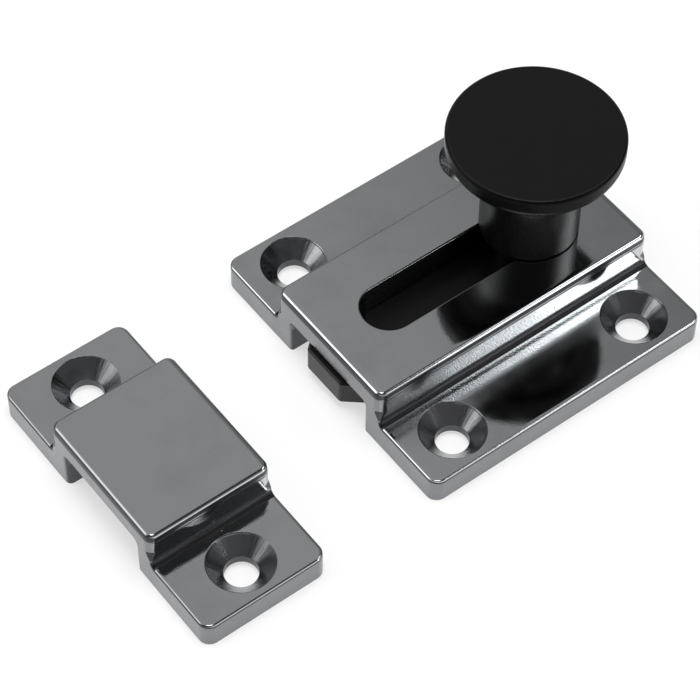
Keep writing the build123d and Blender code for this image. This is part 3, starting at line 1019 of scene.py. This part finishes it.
def studio_sky(stage):
    """The studio around the bolt, as soft fields on the sphere of directions.

    A plain wall on one side fades to a dark side across it. A soft box in front of the bolt is
    exp((cos angle - 1) / spread), a round lamp hangs overhead, a low screen stands on the dark side,
    and a narrow strip of light hangs behind the bolt.
    """
    world = bpy.data.worlds.new("studio")
    graph = Graph(world)
    ramp, soft, times = graph.ramp, graph.soft, graph.times
    way = graph.add("TexCoord").outputs["Generated"]
    x, y, z = graph.parts(way)
    to_box, to_lamp = (
        graph.add("VectorMath", {0: way, 1: aim.normalized()}, operation="DOT_PRODUCT").outputs["Value"]
        for aim in (BOX_WAY, LAMP_WAY)
    )
    wall = soft(y, -0.22, 0.18, stage.wall_radiance, stage.shade_radiance)
    wall = times(wall, soft(x, -0.52, -0.34, 0.5, 1.05))
    lobe = graph.single("EXPONENT", graph.over(graph.minus(to_box, 1), BOX_SPREAD))
    disk = soft(to_lamp, 0.970, 0.988, 0, stage.disk_radiance)
    haze = times(soft(z, 0.62, 0.70, stage.haze_radiance, 0), soft(y, 0.15, 0.35))
    screen = times(
        soft(z, 0.28, 0.31, stage.horizon_radiance, 0), soft(y, 0.35, 0.55),
        soft(x, -0.62, -0.48), soft(x, -0.42, -0.375, 1, 0.1),
    )
    strip = times(
        soft(z, 0.675, 0.705), soft(z, 0.808, 0.830, 1, 0), soft(y, 0.05, 0.2),
        ramp(x, -0.44, -0.382, stage.strip_radiance, 0.2), soft(x, -0.36, -0.33, 1, 0),
    )
    light = graph.plus(wall, times(lobe, stage.key_radiance), disk, haze)
    graph.feed(graph.tree.nodes["Background"], {
        "Color": WHITE, "Strength": graph.most(light, screen, strip),
    })
    return world


def stage_floor(stage):
    """A wide pale floor. Seen directly or in metal it holds a share of plain white, and keeps its shadow."""
    half = FLOOR_HALF
    corners = [(x, y, -FLOOR_SINK) for x, y in ((-half, -half), (half, -half), (half, half), (-half, half))]
    mesh = bpy.data.meshes.new("floor")
    mesh.from_pydata(corners, [], [(0, 1, 2, 3)])
    material, graph, shader = new_material("stage_floor")
    graph.feed(shader, {"Base Color": (*stage.floor, 1.0), "Roughness": 0.9, "Specular IOR Level": 0.0})
    glow = graph.add("Emission", {"Color": WHITE, "Strength": 1.0})
    ray = graph.add("LightPath").outputs
    seen = graph.most(ray["Is Camera Ray"], ray["Is Glossy Ray"], ray["Is Transmission Ray"])
    mixed = graph.add("MixShader", {
        0: graph.times(seen, stage.floor_glow), 1: shader.outputs["BSDF"], 2: glow.outputs["Emission"],
    })
    graph.feed(graph.tree.nodes["Material Output"], {"Surface": mixed.outputs["Shader"]})
    mesh.materials.append(material)
    floor = add_object("floor", mesh)


def overhead_lamp(stage):
    """A round lamp above the bolt. It lights the matt faces, and the metal mirrors the studio alone."""
    data = bpy.data.lights.new("overhead", "AREA")
    data.shape = "DISK"
    data.size = 2 * stage.lamp_radius
    data.energy = stage.lamp_radiance * math.pi * math.pi * stage.lamp_radius**2
    lamp = add_object("overhead", data)
    lamp.location = (0, 0, stage.lamp_height)
    lamp.visible_glossy = False


def photo_camera(stage):
    """The camera at the photograph's viewing angle."""
    data = bpy.data.cameras.new("camera")
    data.lens = stage.camera_lens
    data.sensor_width = 36.0
    data.clip_start = 0.01
    camera = add_object("camera", data)
    place = Vector(stage.camera_place)
    look = (Vector(stage.camera_target) - place).to_track_quat("-Z", "Y")
    camera.location = place
    camera.rotation_euler = (look.to_matrix() @ Matrix.Rotation(stage.camera_roll, 3, "Z")).to_euler()
    bpy.context.scene.camera = camera


class CUPBOARD_OT_stage(bpy.types.Operator):
    """Makes the floor, the lamp, the studio around and the camera"""

    bl_idname = "cupboard_bolt.stage"
    bl_label = "Build stage"

    def execute(self, context):
        stage = context.scene.bolt_stage
        context.scene.view_settings.view_transform = "Standard"
        stage_floor(stage)
        overhead_lamp(stage)
        context.scene.world = studio_sky(stage)
        photo_camera(stage)
        return {"FINISHED"}


class CUPBOARD_PT_panel(bpy.types.Panel):
    """Sizes, colours and steps of the cupboard bolt"""

    bl_idname = "CUPBOARD_PT_panel"
    bl_label = "Cupboard bolt"
    bl_space_type = "VIEW_3D"
    bl_region_type = "UI"
    bl_category = "Cupboard bolt"

    def draw(self, context):
        for group_name in GROUPS:
            group = getattr(context.scene, group_name)
            box = self.layout.box()
            for name in group.__annotations__:
                box.prop(group, name)
        for operator in OPERATORS:
            self.layout.operator(operator.bl_idname)


GROUPS = {
    "bolt_castings": CastingSettings,
    "bolt_knob": KnobSettings,
    "bolt_screw": ScrewSettings,
    "bolt_finish": FinishSettings,
    "bolt_stage": StageSettings,
}
OPERATORS = (CUPBOARD_OT_castings, CUPBOARD_OT_mouldings, CUPBOARD_OT_hardware, CUPBOARD_OT_stage)
CLASSES = (*GROUPS.values(), *OPERATORS, CUPBOARD_PT_panel)


def register():
    for item in CLASSES:
        bpy.utils.register_class(item)
    for name, group in GROUPS.items():
        setattr(bpy.types.Scene, name, PointerProperty(type=group))


def unregister():
    for name in GROUPS:
        delattr(bpy.types.Scene, name)
    for item in reversed(CLASSES):
        bpy.utils.unregister_class(item)


def main():
    """Builds the whole scene."""
    register()
    bpy.ops.cupboard_bolt.castings()
    bpy.ops.cupboard_bolt.mouldings()
    bpy.ops.cupboard_bolt.hardware()
    bpy.ops.cupboard_bolt.stage()


if __name__ == "__main__":
    main()
